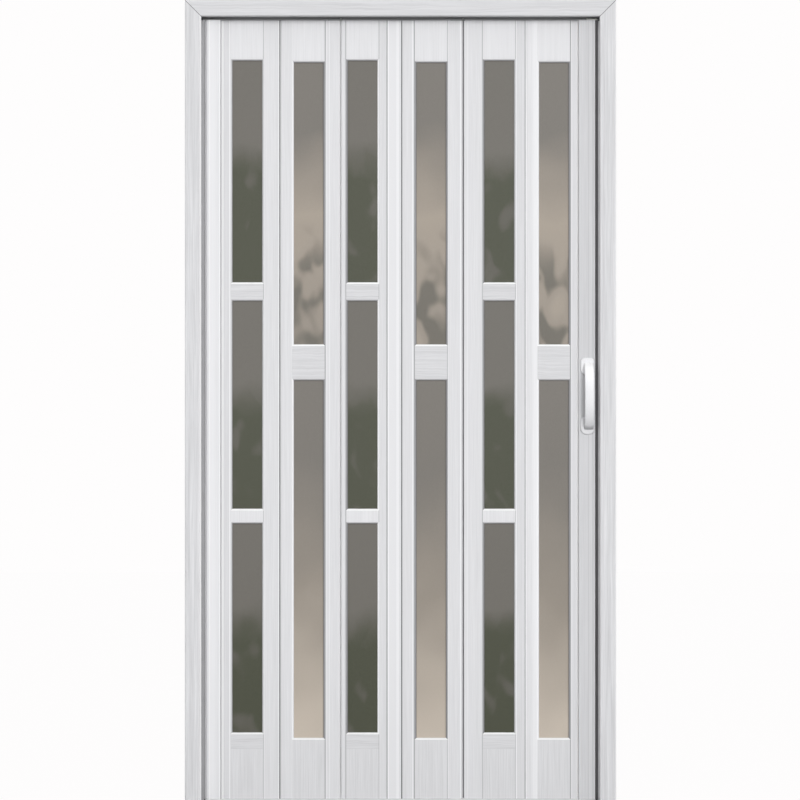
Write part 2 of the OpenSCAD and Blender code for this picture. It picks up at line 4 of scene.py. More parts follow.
import bpy
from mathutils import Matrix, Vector


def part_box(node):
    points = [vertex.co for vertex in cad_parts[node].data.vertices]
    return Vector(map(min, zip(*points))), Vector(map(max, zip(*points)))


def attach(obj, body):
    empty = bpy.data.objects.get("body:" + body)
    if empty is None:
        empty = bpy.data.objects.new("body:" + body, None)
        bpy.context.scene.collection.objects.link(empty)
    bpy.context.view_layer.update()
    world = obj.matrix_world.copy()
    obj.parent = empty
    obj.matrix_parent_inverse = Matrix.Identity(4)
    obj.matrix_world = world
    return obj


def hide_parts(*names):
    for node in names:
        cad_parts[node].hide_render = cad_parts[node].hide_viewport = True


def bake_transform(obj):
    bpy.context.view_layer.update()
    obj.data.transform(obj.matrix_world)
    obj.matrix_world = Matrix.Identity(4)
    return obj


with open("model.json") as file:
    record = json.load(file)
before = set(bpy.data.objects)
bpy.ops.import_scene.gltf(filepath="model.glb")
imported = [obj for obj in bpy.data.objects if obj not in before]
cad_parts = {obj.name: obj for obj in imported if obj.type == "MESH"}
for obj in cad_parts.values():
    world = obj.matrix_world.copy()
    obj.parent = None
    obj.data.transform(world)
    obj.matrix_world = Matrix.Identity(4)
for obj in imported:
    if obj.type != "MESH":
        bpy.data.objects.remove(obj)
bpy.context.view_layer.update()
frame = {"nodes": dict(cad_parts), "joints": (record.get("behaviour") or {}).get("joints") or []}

# Sizes in metres, and counts
PANELS = 6
PANEL_FACE = 0.006
BEAD_WIDTH = 0.0045
GLASS_SHADE = 0.0030
WALL_POST_FACE = 0.040
WELD_DISTANCE = 0.00001
STRIP_BEND = 0.0015
STRIP_COLUMNS = 7
STRIP_ZONES = (-0.0034, -0.0015, 0.0010, 0.0034)
ODD_BOTTOM_RAIL = 0.038
JOINT_BEVEL = 0.0005
STILE_BEVEL = 0.0009
NEAR = 0.00005
HANDLE_VOXEL = 0.0009
BOW_RINGS = 26
BOW_SIDES = 20
BOW_THICK = 0.008
FOOT_HEIGHT = 0.046
FOOT_THICK = 0.006
CORNER_STEPS = 10
SCREW_HEAD = 0.0034
SCREW_HOLE_DEPTH = 0.012
SCREW_HOLE_FLOOR = 0.0035
MITRE_SEAM = 0.0009
GROOVE_FROM_HINGE = 0.0395
FOOT_FADE = 0.002

# Camera, in metres and pixels
CAMERA_DISTANCE = 6.0
CAMERA_X = -0.0013
CAMERA_Z = 1.0481
PHOTO_WIDTH = 800
PIXEL = 0.002609
SENSOR = 36.0


# Small helpers

def linear(red, green, blue):
    """A colour written as 0 to 255 screen values, as the renderer's linear colour."""
    def one(value):
        value /= 255
        return value / 12.92 if value <= 0.04045 else ((value + 0.055) / 1.055) ** 2.4
    return (one(red), one(green), one(blue), 1.0)


def white(value):
    """A slightly cool white or grey of this door's foil and beads."""
    return linear(value, value, min(value + 2, 255))


def spans(node, axis=2, gap=0.001):
    """The stretches that a node's separate solids cover along an axis, from low to high.

    A gap below 0 keeps apart the solids that only touch.
    """
    mesh = frame["nodes"][node].data
    ends = sorted(
        (min(mesh.vertices[v].co[axis] for v in face.vertices),
         max(mesh.vertices[v].co[axis] for v in face.vertices))
        for face in mesh.polygons
    )
    merged = [list(ends[0])]
    for low, high in ends[1:]:
        if low <= merged[-1][1] + gap:
            merged[-1][1] = max(merged[-1][1], high)
        else:
            merged.append([low, high])
    return [stretch for stretch in merged if stretch[1] - stretch[0] > NEAR]


def nothing_selected():
    bpy.ops.object.select_all(action="DESELECT")


def only(obj):
    """Selects this object alone and makes it the active one."""
    nothing_selected()
    obj.select_set(True)
    bpy.context.view_layer.objects.active = obj
    return obj


def choose_edges(obj, test):
    """Goes into edit mode with only the edges selected whose two ends pass the test."""
    only(obj)
    bpy.ops.object.mode_set(mode="EDIT")
    bpy.ops.mesh.select_mode(type="EDGE")
    bpy.ops.mesh.select_all(action="DESELECT")
    bpy.ops.object.mode_set(mode="OBJECT")
    for edge in obj.data.edges:
        first, second = (obj.data.vertices[v].co for v in edge.vertices)
        edge.select = test(first, second)
    bpy.ops.object.mode_set(mode="EDIT")


def apply_modifiers(obj):
    only(obj)
    for modifier in list(obj.modifiers):
        bpy.ops.object.modifier_apply(modifier=modifier.name)


def settle(obj, name):
    """Puts the object's place into its mesh and names it."""
    only(obj)
    bpy.ops.object.transform_apply(location=True, rotation=True, scale=True)
    obj.name = obj.data.name = name
    return obj


def smooth(obj, degrees=35):
    only(obj)
    bpy.ops.object.shade_smooth_by_angle(angle=math.radians(degrees))


# Material building

class Paint:
    """A material whose nodes are added one after the other."""

    def __init__(self, name):
        self.material = bpy.data.materials.new(name)
        self.material.use_nodes = True
        self.nodes = self.material.node_tree.nodes
        self.links = self.material.node_tree.links
        self.shader = self.nodes["Principled BSDF"]
        self.place = self.node("ShaderNodeTexCoord").outputs["Object"]

    def node(self, kind, **settings):
        made = self.nodes.new(kind)
        for key, value in settings.items():
            setattr(made, key, value)
        return made

    def feed(self, socket, value):
        """Links a socket to another, or writes a constant into it."""
        if isinstance(value, bpy.types.NodeSocket):
            self.links.new(value, socket)
        else:
            socket.default_value = value

    def stretch(self, scale, location=(0, 0, 0), source=None):
        made = self.node("ShaderNodeMapping")
        self.feed(made.inputs["Vector"], source or self.place)
        made.inputs["Location"].default_value = location
        made.inputs["Scale"].default_value = scale
        return made.outputs["Vector"]

    def noise(self, vector, scale=1.0, detail=2.0, rough=0.5, distortion=0.0):
        made = self.node("ShaderNodeTexNoise")
        self.feed(made.inputs["Vector"], vector)
        made.inputs["Scale"].default_value = scale
        made.inputs["Detail"].default_value = detail
        made.inputs["Roughness"].default_value = rough
        made.inputs["Distortion"].default_value = distortion
        return made.outputs["Fac"]

    def remap(self, value, low, high, to_low=0.0, to_high=1.0, smooth_step=False):
        made = self.node("ShaderNodeMapRange")
        made.interpolation_type = "SMOOTHSTEP" if smooth_step else "LINEAR"
        self.feed(made.inputs["Value"], value)
        self.feed(made.inputs["From Min"], low)
        self.feed(made.inputs["From Max"], high)
        self.feed(made.inputs["To Min"], to_low)
        self.feed(made.inputs["To Max"], to_high)
        return made.outputs["Result"]

    def math(self, operation, first, second=0.0, third=0.0):
        made = self.node("ShaderNodeMath", operation=operation)
        self.feed(made.inputs[0], first)
        self.feed(made.inputs[1], second)
        self.feed(made.inputs[2], third)
        return made.outputs["Value"]

    def mix(self, factor, first, second):
        made = self.node("ShaderNodeMix", data_type="RGBA")
        self.feed(made.inputs["Factor"], factor)
        self.feed(made.inputs["A"], first)
        self.feed(made.inputs["B"], second)
        return made.outputs["Result"]

    def scale(self, colour, factor):
        """A colour made lighter or darker by a factor."""
        made = self.node("ShaderNodeVectorMath", operation="SCALE")
        self.feed(made.inputs[0], colour if isinstance(colour, bpy.types.NodeSocket) else colour[:3])
        self.feed(made.inputs["Scale"], factor)
        return made.outputs["Vector"]

    def choose(self, factor, first, second):
        """A vector between two others."""
        made = self.node("ShaderNodeMix", data_type="VECTOR")
        self.feed(made.inputs["Factor"], factor)
        self.feed(made.inputs["A"], first)
        self.feed(made.inputs["B"], second)
        return made.outputs["Result"]

    def split(self, vector=None):
        made = self.node("ShaderNodeSeparateXYZ")
        self.feed(made.inputs["Vector"], vector or self.place)
        return made.outputs

    def join(self, x, y, z):
        made = self.node("ShaderNodeCombineXYZ")
        for socket, value in zip(made.inputs, (x, y, z)):
            self.feed(socket, value)
        return made.outputs["Vector"]

    def within(self, value, stretches):
        """1 where a value lies in one of the stretches, or else 0."""
        inside = None
        for low, high in stretches:
            hit = self.math("COMPARE", value, (low + high) / 2, (high - low) / 2)
            inside = hit if inside is None else self.math("MAXIMUM", inside, hit)
        return inside

    def distance(self, value, places):
        """How far a value is from the nearest of the places."""
        nearest = None
        for place in places:
            away = self.math("ABSOLUTE", self.math("SUBTRACT", value, place))
            nearest = away if nearest is None else self.math("MINIMUM", nearest, away)
        return nearest

    def ramp(self, value, stops):
        made = self.node("ShaderNodeValToRGB")
        self.feed(made.inputs["Fac"], value)
        elements = made.color_ramp.elements
        while len(elements) < len(stops):
            elements.new(0.5)
        for element, (position, colour) in zip(elements, stops):
            element.position = position
            element.color = colour
        return made.outputs["Color"]

    def bump(self, height, distance, strength=1.0):
        made = self.node("ShaderNodeBump")
        made.inputs["Strength"].default_value = strength
        made.inputs["Distance"].default_value = distance
        self.feed(made.inputs["Height"], height)
        self.feed(self.shader.inputs["Normal"], made.outputs["Normal"])

    def finish(self, colour, roughness, **sockets):
        self.feed(self.shader.inputs["Base Color"], colour)
        self.feed(self.shader.inputs["Roughness"], roughness)
        for name, value in sockets.items():
            self.shader.inputs[name.replace("_", " ")].default_value = value
        return self.material


# Tones of the foil, as screen values
PROFILE = 225
PALE_PROFILE = 230
CASING = 219
HEAD = 217
WALL_POST = 231
# The lead post is a little darker, painted shade of the casing beside it
LEAD_POST = 211
BOARD = 230
BAR = 218
MITRE_LINE = white(96)
FOOT_SHADE = 0.912
FOOT_GRAIN = 1.9

# Tone and strength of the painted shade or painted highlight on the foil where it faces left, and where it
# faces right
LEFT_SIDE_SHADE = (160, 0.35)
RIGHT_SIDE_HIGHLIGHT = (252, 0.85)
NO_SIDE_LIGHT = (200, 0.0)
WHITE_SIDE_LIGHT = (244, 1.0)
POST_SIDE_SHADE = (200, 0.3)
CASING_SIDE_LIGHT = (246, 0.7)

# How strongly the fine grain, the hairlines and the pores show, how strongly the broad tone drifts,
# and how much stronger the grain of a level bar is
FINE_GRAIN = 0.045
HAIRLINES = 0.34
PORES = 0.2
STREAK_SHADE = 0.72
BROAD_DRIFT = 0.06
BAR_GRAIN = 2.0

# How far the grain wanders, and how deep it is, in metres
LEVEL_WANDER = 0.0024
GRAIN_WAVE = 0.006
GRAIN_DEPTH = 0.00006


def shading_or_joint_line(x, half, tone, strength=0.85, soft=None):
    """An upright line or band laid on a surface, a painted highlight, painted shade or dark joint line, with
    half its width and the width of its soft edge.
    """
    return (x, half, soft or half * 0.6, white(tone), strength)


def lay_shading_and_joint_lines(paint, colour, shading_and_joint_lines):
    """Lays the upright lines and bands over a colour, one after the other: painted highlights, painted shade
    and dark joint lines.
    """
    x = paint.split()["X"]
    for place, half, soft, shade, strength in shading_and_joint_lines:
        away = paint.distance(x, [place])
        near = paint.remap(away, half, half - soft, 0.0, strength, smooth_step=True)
        colour = paint.mix(near, colour, shade)
    return colour


def grain_path(paint, seed, inside, level):
    """A place along the grain, which runs up, or level on a level piece and inside a bar."""
    x, y, z = paint.split()
    upright = paint.join(paint.math("ADD", x, y), z, float(seed))
    wobble = paint.noise(paint.stretch((22, 1, 34), source=paint.join(x, float(seed), z)), detail=1.0)
    wander = paint.remap(wobble, 0.2, 0.8, -LEVEL_WANDER, LEVEL_WANDER)
    flat = paint.join(paint.math("ADD", z, wander), x, float(seed) + 5.0)
    lines = upright
    if level:
        lines = flat
    elif inside is not None:
        lines = paint.choose(inside, upright, flat)
    wave = paint.noise(paint.stretch((14, 2.2, 1), source=lines), detail=1.0)
    bent = paint.node("ShaderNodeVectorMath", operation="ADD")
    paint.feed(bent.inputs[0], lines)
    paint.feed(bent.inputs[1], paint.join(paint.remap(wave, 0, 1, -GRAIN_WAVE, GRAIN_WAVE), 0.0, 0.0))
    return bent.outputs["Vector"]


def lay_grain(paint, lines, base, amount, drift):
    """Lays the grain over a base colour and into the surface. Gives the colour and the roughness."""
    broad = paint.noise(paint.stretch((95, 1.9, 1), source=lines), detail=3.0, rough=0.6)
    fine = paint.noise(paint.stretch((430, 6, 1), source=lines), detail=3.0, rough=0.6)
    pores = paint.noise(paint.stretch((900, 26, 1), source=lines), detail=2.0, rough=0.7)
    hair = paint.noise(paint.stretch((260, 3.2, 1), (3, 1, 0), lines), detail=5.0, rough=0.65)
    ripple = paint.math("MULTIPLY", paint.remap(fine, 0.32, 0.68, -FINE_GRAIN, FINE_GRAIN), amount)
    sway = paint.remap(broad, 0.32, 0.68, -BROAD_DRIFT * drift, BROAD_DRIFT * drift)
    colour = paint.scale(base, paint.math("ADD", paint.math("ADD", ripple, sway), 1.0))
    streak = paint.scale(base, STREAK_SHADE)
    for marks in (paint.remap(hair, 0.60, 0.76, 0.0, HAIRLINES), paint.remap(pores, 0.62, 0.74, 0.0, PORES)):
        colour = paint.mix(paint.math("MULTIPLY", marks, amount), colour, streak)
    ridges = paint.remap(fine, 0.3, 0.7, 0, 0.6)
    pits = paint.remap(pores, 0.55, 0.75, 0.6, 0)
    paint.bump(paint.math("ADD", ridges, pits), GRAIN_DEPTH, 0.7)
    return colour, paint.remap(fine, 0.3, 0.7, 0.40, 0.52)


def paint_side_light(paint, colour, left_side_light, right_side_light):
    """Paints light and shade by the way a surface faces: one tone for the surfaces that face left and one
    for those that face right, each a painted highlight or painted shade.
    """
    side = paint.split(paint.node("ShaderNodeTexCoord").outputs["Normal"])["X"]
    colour = paint.mix(paint.remap(side, 0.2, 0.6, 0.0, right_side_light[1]), colour, white(right_side_light[0]))
    return paint.mix(paint.remap(side, -0.45, -0.9, 0.0, left_side_light[1]), colour, white(left_side_light[0]))


def draw_mitre(paint, colour, corner):
    """A dark joint line that runs up and outwards from a corner, given as half width and height."""
    x, y, z = paint.split()
    out = paint.math("SUBTRACT", paint.math("ABSOLUTE", x), corner[0])
    off = paint.math("SUBTRACT", out, paint.math("SUBTRACT", z, corner[1]))
    return paint.mix(paint.math("COMPARE", off, 0.0, MITRE_SEAM), colour, MITRE_LINE)


def ash_foil(name, tone, seed, bars=(), level=False, grain=1.0, drift=1.0, foot=None, mitre=None,
             shading_and_joint_lines=(), left_side_light=LEFT_SIDE_SHADE, right_side_light=RIGHT_SIDE_HIGHLIGHT):
    """White ash foil, with a painted highlight or painted shade on the surfaces that face left and right.

    The grain runs up, except on level pieces and in bars, which are stretches of height.
    foot is the height below which the foil is darker and more strongly grained.
    mitre is the corner, as half width and height, from which a mitre joint runs up and outwards. The upright
    lines laid over the foil are painted highlights, painted shade and dark joint lines.
    """
    paint = Paint(name)
    z = paint.split()["Z"]
    inside = paint.within(z, bars) if bars else None
    near_floor = paint.remap(z, foot + FOOT_FADE, foot) if foot else None
    amount = paint.remap(near_floor, 0.0, 1.0, grain, grain * FOOT_GRAIN) if foot else grain
    amount = paint.remap(inside, 0.0, 1.0, amount, BAR_GRAIN) if bars else amount
    base = paint.mix(inside, white(tone), white(BAR)) if bars else white(tone)
    colour, roughness = lay_grain(paint, grain_path(paint, seed, inside, level), base, amount, drift)
    if foot:
        colour = paint.scale(colour, paint.remap(near_floor, 0.0, 1.0, 1.0, FOOT_SHADE))
    colour = paint_side_light(paint, colour, left_side_light, right_side_light)
    colour = lay_shading_and_joint_lines(paint, colour, shading_and_joint_lines)
    if mitre:
        colour = draw_mitre(paint, colour, mitre)
    return paint.finish(colour, roughness, Specular_IOR_Level=0.35)


# Tones of the smoked glass and its painted reflection, from dark to pale
OLIVE = linear(79, 81, 68)
SLATE = linear(101, 99, 92)
SMOKE = linear(113, 110, 104)
PEWTER = linear(124, 120, 114)
BRONZE = linear(152, 144, 134)
SAND = linear(168, 158, 146)
CREAM = linear(200, 189, 176)

# How the glass's painted reflection changes from the bottom of a window, at 0, to its top, at 1, for each
# kind of window
ODD_STOPS = ((0.45, OLIVE), (0.6, SMOKE))
LOW_STOPS = ((0.0, CREAM), (0.4, BRONZE), (0.75, PEWTER))
HIGH_STOPS = ((0.0, BRONZE), (0.45, SAND), (0.75, PEWTER))

# How far the glass's tones sway up and down, over how much of the height the clouds of painted reflection
# fade in, how strong these clouds are, and how dark the line of painted shade by the beads is
TONE_SWAY = 0.05
REFLECTION_FADE = 0.22
REFLECTION_STRENGTH = 0.8
BEAD_SHADOW = 0.80


def share_of_height(paint, windows, seed):
    """How far up its window a place lies, from 0 to 1, with a slow sway."""
    x, y, z = paint.split()
    height = None
    for low, high in windows:
        part = paint.remap(z, low, high, 0.0, 0.9999)
        height = part if height is None else paint.math("ADD", height, part)
    share = paint.math("FRACT", height)
    drift = paint.noise(paint.join(x, z, float(seed)), scale=6.0, detail=1.0)
    return paint.math("ADD", share, paint.remap(drift, 0.3, 0.7, -TONE_SWAY, TONE_SWAY))


def lay_reflection_clouds(paint, colour, share, seed, light, dark, clouds_from):
    """Soft dark and light clouds of painted reflection in the glass, below a share of its height."""
    x, y, z = paint.split()
    place = paint.join(x, paint.math("MULTIPLY", z, 0.6), float(seed))
    soft = paint.noise(place, scale=20.0, detail=0.8, rough=0.35, distortion=0.35)
    fade = paint.remap(share, clouds_from, clouds_from - REFLECTION_FADE, smooth_step=True)
    for end, tone in ((0.62, dark), (0.26, light)):
        cloud = paint.remap(soft, 0.44, end, 0.0, REFLECTION_STRENGTH, smooth_step=True)
        colour = paint.mix(paint.math("MULTIPLY", cloud, fade), colour, tone)
    return colour


def smoked_glass(name, windows, seed, stops, light, dark, clouds_from, right=None):
    """Satin smoked glass with a painted reflection: its tone changes up each window, with soft clouds of it
    in the lower part.

    clouds_from is the share of the height below which the clouds of painted reflection lie. A thin line of
    painted shade lies under the bead at the top, and beside the bead at the right where right is given.
    """
    paint = Paint(name)
    x, y, z = paint.split()
    share = share_of_height(paint, windows, seed)
    colour = lay_reflection_clouds(paint, paint.ramp(share, stops), share, seed, light, dark, clouds_from)
    away = paint.distance(z, [high - 2 * BEAD_WIDTH for low, high in windows])
    if right:
        away = paint.math("MINIMUM", away, paint.distance(x, [right - 2 * BEAD_WIDTH]))
    colour = paint.scale(colour, paint.remap(away, GLASS_SHADE / 2, GLASS_SHADE, BEAD_SHADOW, 1.0))
    frost = paint.noise(paint.place, scale=900.0, detail=2.0)
    paint.bump(frost, 0.00002, 0.4)
    return paint.finish(colour, paint.remap(frost, 0.3, 0.7, 0.22, 0.30), Specular_IOR_Level=0.4)


# Painted light and shade of a bead, lit, half lit or shaded: its tones at its outer edge, halfway and at the
# glass
LIT_BEAD = (250, 246, 232)
HALF_LIT_BEAD = (230, 195, 155)
SHADED_BEAD = (165, 150, 130)

# How lit or shaded the beads at the left and at the right of each panel's windows are painted
LEFT_BEADS = {1: HALF_LIT_BEAD, 2: LIT_BEAD, 3: SHADED_BEAD, 4: SHADED_BEAD, 5: SHADED_BEAD, 6: LIT_BEAD}
RIGHT_BEADS = {1: HALF_LIT_BEAD, 2: SHADED_BEAD, 3: LIT_BEAD, 4: SHADED_BEAD, 5: HALF_LIT_BEAD, 6: SHADED_BEAD}
# The bottom beads are painted lit, and the top beads painted in shade
LIT_BOTTOM_BEAD = (255, 255, 224)
SHADED_TOP_BEAD = (226, 186, 158)
BEAD_DUST = white(196)


def quarter_round_beads(name, windows, left, right, left_tones, right_tones):
    """Smooth white beads, mitred at the corners, with painted light and shade: each side has its own lit or
    shaded tones from its outer edge to the glass.
    """
    paint = Paint(name)
    x, y, z = paint.split()
    sides = (
        (paint.distance(x, [left]), left_tones),
        (paint.distance(x, [right]), right_tones),
        (paint.distance(z, [low for low, high in windows]), LIT_BOTTOM_BEAD),
        (paint.distance(z, [high for low, high in windows]), SHADED_TOP_BEAD),
    )
    colour = closest = None
    for away, (outside, halfway, inside) in sides:
        stops = ((0.0, white(outside)), (0.45, white(halfway)), (1.0, white(inside)))
        tone = paint.ramp(paint.remap(away, 0.0, BEAD_WIDTH), stops)
        if closest is None:
            colour, closest = tone, away
            continue
        colour = paint.mix(paint.math("LESS_THAN", away, closest), colour, tone)
        closest = paint.math("MINIMUM", closest, away)
    cloud = paint.noise(paint.place, scale=30.0, detail=3.0)
    colour = paint.mix(paint.remap(cloud, 0.35, 0.7, 0.0, 0.05), colour, BEAD_DUST)
    return paint.finish(colour, paint.remap(cloud, 0.3, 0.7, 0.30, 0.36), Specular_IOR_Level=0.3)


def moulded(name, tone, roughness):
    """Moulded plastic or rubber: a faint pebble in the surface and a slight change of tone."""
    paint = Paint(name)
    cloud = paint.noise(paint.place, scale=24.0, detail=3.0)
    pebble = paint.noise(paint.place, scale=1400.0, detail=2.0)
    dark = tuple(channel * 0.93 for channel in tone[:3]) + (1.0,)
    colour = paint.mix(paint.remap(cloud, 0.3, 0.7), tone, dark)
    paint.bump(pebble, 0.00002, 0.6)
    rough = paint.remap(pebble, 0.3, 0.7, roughness - 0.04, roughness + 0.05)
    return paint.finish(colour, rough)


def metal(name, tone, roughness, along=(1, 1, 1), metallic=1.0, shading_and_joint_lines=()):
    """Brushed or plated metal with fine lines across the given stretch."""
    paint = Paint(name)
    lines = paint.noise(paint.stretch(along), scale=1.0, detail=3.0)
    spots = paint.noise(paint.place, scale=40.0, detail=3.0)
    dark = tuple(channel * 0.9 for channel in tone[:3]) + (1.0,)
    colour = paint.mix(paint.remap(spots, 0.35, 0.7), tone, dark)
    colour = lay_shading_and_joint_lines(paint, colour, shading_and_joint_lines)
    paint.bump(lines, 0.00002, 0.5)
    rough = paint.remap(lines, 0.3, 0.7, roughness - 0.06, roughness + 0.08)
    return paint.finish(colour, rough, Metallic=metallic)


def dress(node, material):
    """Gives a CAD node one material."""
    mesh = frame["nodes"][node].data
    mesh.materials.clear()
    mesh.materials.append(material)


def soften_edges(node, width=JOINT_BEVEL, corners=None):
    """Takes the sharp edge off a CAD node, everywhere or only between the given vertices."""
    obj = frame["nodes"][node]
    weld = obj.modifiers.new("weld", "WELD")
    weld.merge_threshold = WELD_DISTANCE
    bevel = obj.modifiers.new("edges", "BEVEL")
    bevel.width = width
    bevel.segments = 2
    if corners:
        group = obj.vertex_groups.new(name="soft_corners")
        group.add(corners, 1.0, "REPLACE")
        bevel.limit_method = "VGROUP"
        bevel.vertex_group = group.name
    else:
        bevel.limit_method = "ANGLE"
        bevel.angle_limit = math.radians(40)


def soften_joints():
    """Softens the joints between a panel's boards and its stiles."""
    for i in range(1, PANELS + 1):
        soften_edges(f"panel_{i}_rails")
        low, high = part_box(f"panel_{i}_beads")
        for side, edge in (("left", low.x), ("right", high.x)):
            node = f"panel_{i}_{side}_stile"
            corners = [
                v.index for v in frame["nodes"][node].data.vertices
                if abs(v.co.x - edge) < NEAR and abs(abs(v.co.y) - PANEL_FACE) < NEAR
            ]
            soften_edges(node, STILE_BEVEL, corners)


def dress_posts():
    """The wall post has a painted highlight by its round edge, and a painted highlight and a painted shade
    line by its lip; the lead post a painted highlight by its lip and two grey lines, the outer one painted
    shade.
    """
    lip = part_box("wall_post")[1].x
    face = lip - WALL_POST_FACE
    dress("wall_post", ash_foil(
        "wall_post_ash", WALL_POST, 17, grain=0.6, drift=0.35, left_side_light=POST_SIDE_SHADE, shading_and_joint_lines=(
            shading_or_joint_line(face + 0.017, 0.016, 242, 0.6, soft=0.015), shading_or_joint_line(face + 0.011, 0.0022, 255),
            shading_or_joint_line(lip - 0.003, 0.0013, 250), shading_or_joint_line(lip, 0.0008, 156, 0.8, soft=0.0002),
        )))
    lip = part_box("lead_post")[0].x
    dress("lead_post", ash_foil(
        "lead_post_ash", LEAD_POST, 23, grain=1.0, drift=0.5, left_side_light=POST_SIDE_SHADE, shading_and_joint_lines=(
            shading_or_joint_line(lip + 0.0040, 0.0013, 220, 0.6), shading_or_joint_line(lip + 0.0257, 0.0012, 194, 0.7),
            shading_or_joint_line(lip + 0.0375, 0.0016, 184, 0.8),
        )))


def dress_channels():
    """The channels are grey, with painted shade along the lip that faces the door and, on the wall channel,
    two grey lines of painted shade beside it. The strike channel is painted paler, painted light against the
    shade in its gap.
    """
    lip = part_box("wall_channel")[1].x
    dress("wall_channel", metal("wall_channel_coat", white(200), 0.42, (400, 400, 3), 0.2, shading_and_joint_lines=(
        shading_or_joint_line(lip - 0.0004, 0.0016, 74, 0.95), shading_or_joint_line(lip - 0.0033, 0.0014, 186, 0.8),
        shading_or_joint_line(lip - 0.0060, 0.0013, 152, 0.8),
    )))
    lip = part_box("strike_channel")[0].x
    dress("strike_channel", metal("strike_channel_coat", white(236), 0.42, (400, 400, 3), 0.2, shading_and_joint_lines=(
        shading_or_joint_line(lip + 0.0011, 0.0034, 90, 0.98, soft=0.0010),
    )))


def dress_frame():
    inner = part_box("casing_front_right")[0].x
    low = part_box("casing_front_head")[0].z
    # The upright casings are painted lighter where they face left, painted light against the shade on the
    # right casing's inner side, and have a painted highlight along the left casing's inner edge
    side = ash_foil("casing_ash_upright", CASING, 3, grain=2.0, drift=1.4, mitre=(inner, low),
                    left_side_light=CASING_SIDE_LIGHT, shading_and_joint_lines=(shading_or_joint_line(-inner - 0.0014, 0.0018, 255, 1.0),))
    head = ash_foil("casing_ash_level", HEAD, 11, level=True, grain=1.5, drift=1.0, mitre=(inner, low),
                    left_side_light=NO_SIDE_LIGHT)
    for node in ("casing_front_left", "casing_front_right", "jamb_left", "jamb_right"):
        dress(node, side)
    for node in ("casing_front_head", "head_jamb"):
        dress(node, head)
    obj = frame["nodes"]["casing_back"]
    dress("casing_back", side)
    obj.data.materials.append(head)
    for face in obj.data.polygons:
        centre = face.center
        if centre.z > low and abs(centre.x) - inner < centre.z - low:
            face.material_index = 1
    dress("top_track", metal("track_coat", white(148), 0.45, (3, 400, 400), 0.3))
    dress("strike_strip", metal("strike_zinc", linear(168, 170, 172), 0.35, (300, 300, 5)))
    zinc = metal("screw_zinc", linear(188, 188, 184), 0.28, (900, 900, 900))
    dress("frame_screws", zinc)
    dress("handle_screws", zinc)
    nylon = moulded("glider_nylon", linear(226, 226, 220), 0.42)
    for node in ("glider_2", "glider_4", "lead_carrier"):
        dress(node, nylon)
    plate = metal("bracket_zinc", linear(176, 178, 180), 0.33, (5, 500, 500))
    dress("hanger_bracket_2", plate)
    dress("hanger_bracket_4", plate)
    dress("magnet_seal", moulded("seal_rubber", linear(144, 144, 144), 0.62))


# Stiles that are a little lighter or darker than the others
STILE_TONES = {
    "panel_1_left_stile": 221, "panel_3_right_stile": 223, "panel_5_right_stile": 222,
    "panel_6_left_stile": PALE_PROFILE, "panel_6_right_stile": 221
}

# Painted highlights and painted shade lines along the window edge of a stile: distance from the edge, half
# width, tone
LEFT_SHADING_LINES = {
    1: ((0.0030, 0.0014, 250),), 2: ((0.0002, 0.0009, 244),), 3: ((0.0008, 0.0018, 168),),
    4: ((0.0010, 0.0015, 146), (0.0060, 0.0014, 246)), 5: ((0.0008, 0.0016, 184),),
    6: ((0.0008, 0.0012, 250),)
}
RIGHT_SHADING_LINES = {
    1: ((0.0014, 0.0013, 234),), 2: ((0.0008, 0.0014, 176), (0.0036, 0.0013, 240)),
    3: ((0.0006, 0.0008, 226),), 4: ((0.0014, 0.0013, 238),), 5: ((0.0014, 0.0013, 252),),
    6: ((0.0004, 0.0012, 158), (0.0036, 0.0013, 238))
}


# The joint line by the right end of a board: distance from the window's edge, half width, tone
BOARD_JOINT = (0.0006, 0.0009, 172)


def stile_shading_lines(i, side, window, outer):
    """The painted highlights and painted shade lines along a stile, and on panel 3 a paler band beyond its
    groove: window and outer are the places of its two edges.
    """
    away = 1 if side == "right" else -1
    lines = [shading_or_joint_line(window + away * off, half, tone)
             for off, half, tone in (RIGHT_SHADING_LINES if side == "right" else LEFT_SHADING_LINES)[i]]
    if i == 1 and side == "left":
        # Painted light against the shadow of the wall post's lip
        lines.append(shading_or_joint_line(outer + 0.0108, 0.0034, 255, 0.8))
    if i == 2 and side == "right":
        lines.append(shading_or_joint_line(window + 0.0113, 0.0013, 246, 0.7))
    if i == 3 and side == "right":
        groove = joint_of(3)["pos_m"][0] - GROOVE_FROM_HINGE
        middle = (groove + outer) / 2
        # A paler band beyond the groove, a painted shade line and a painted highlight at the groove, and a
        # painted highlight near the outer edge
        lines += [
            shading_or_joint_line(middle, outer - middle, 233, 0.9, soft=0.0004), shading_or_joint_line(outer - 0.009, 0.006, 246, 0.6),
            shading_or_joint_line(groove + 0.0006, 0.0021, 168, 0.9), shading_or_joint_line(groove + 0.0043, 0.0014, 252),
        ]
    if i == 4 and side == "right":
        lines += [shading_or_joint_line(outer - 0.0058, 0.0015, 248), shading_or_joint_line(outer - 0.0014, 0.0022, 200, 0.7)]
    if i == 5 and side == "left":
        lines.append(shading_or_joint_line(outer + 0.0096, 0.0013, 238, 0.7))
    if i == 6 and side == "left":
        lines.append(shading_or_joint_line(window - 0.006, 0.012, 248, 0.5, soft=0.011))
    if i == 6 and side == "right":
        # Painted light against the shadow of the lead post's lip
        lines.append(shading_or_joint_line(window + 0.0192, 0.0026, 255, 0.95, soft=0.0010))
    return lines


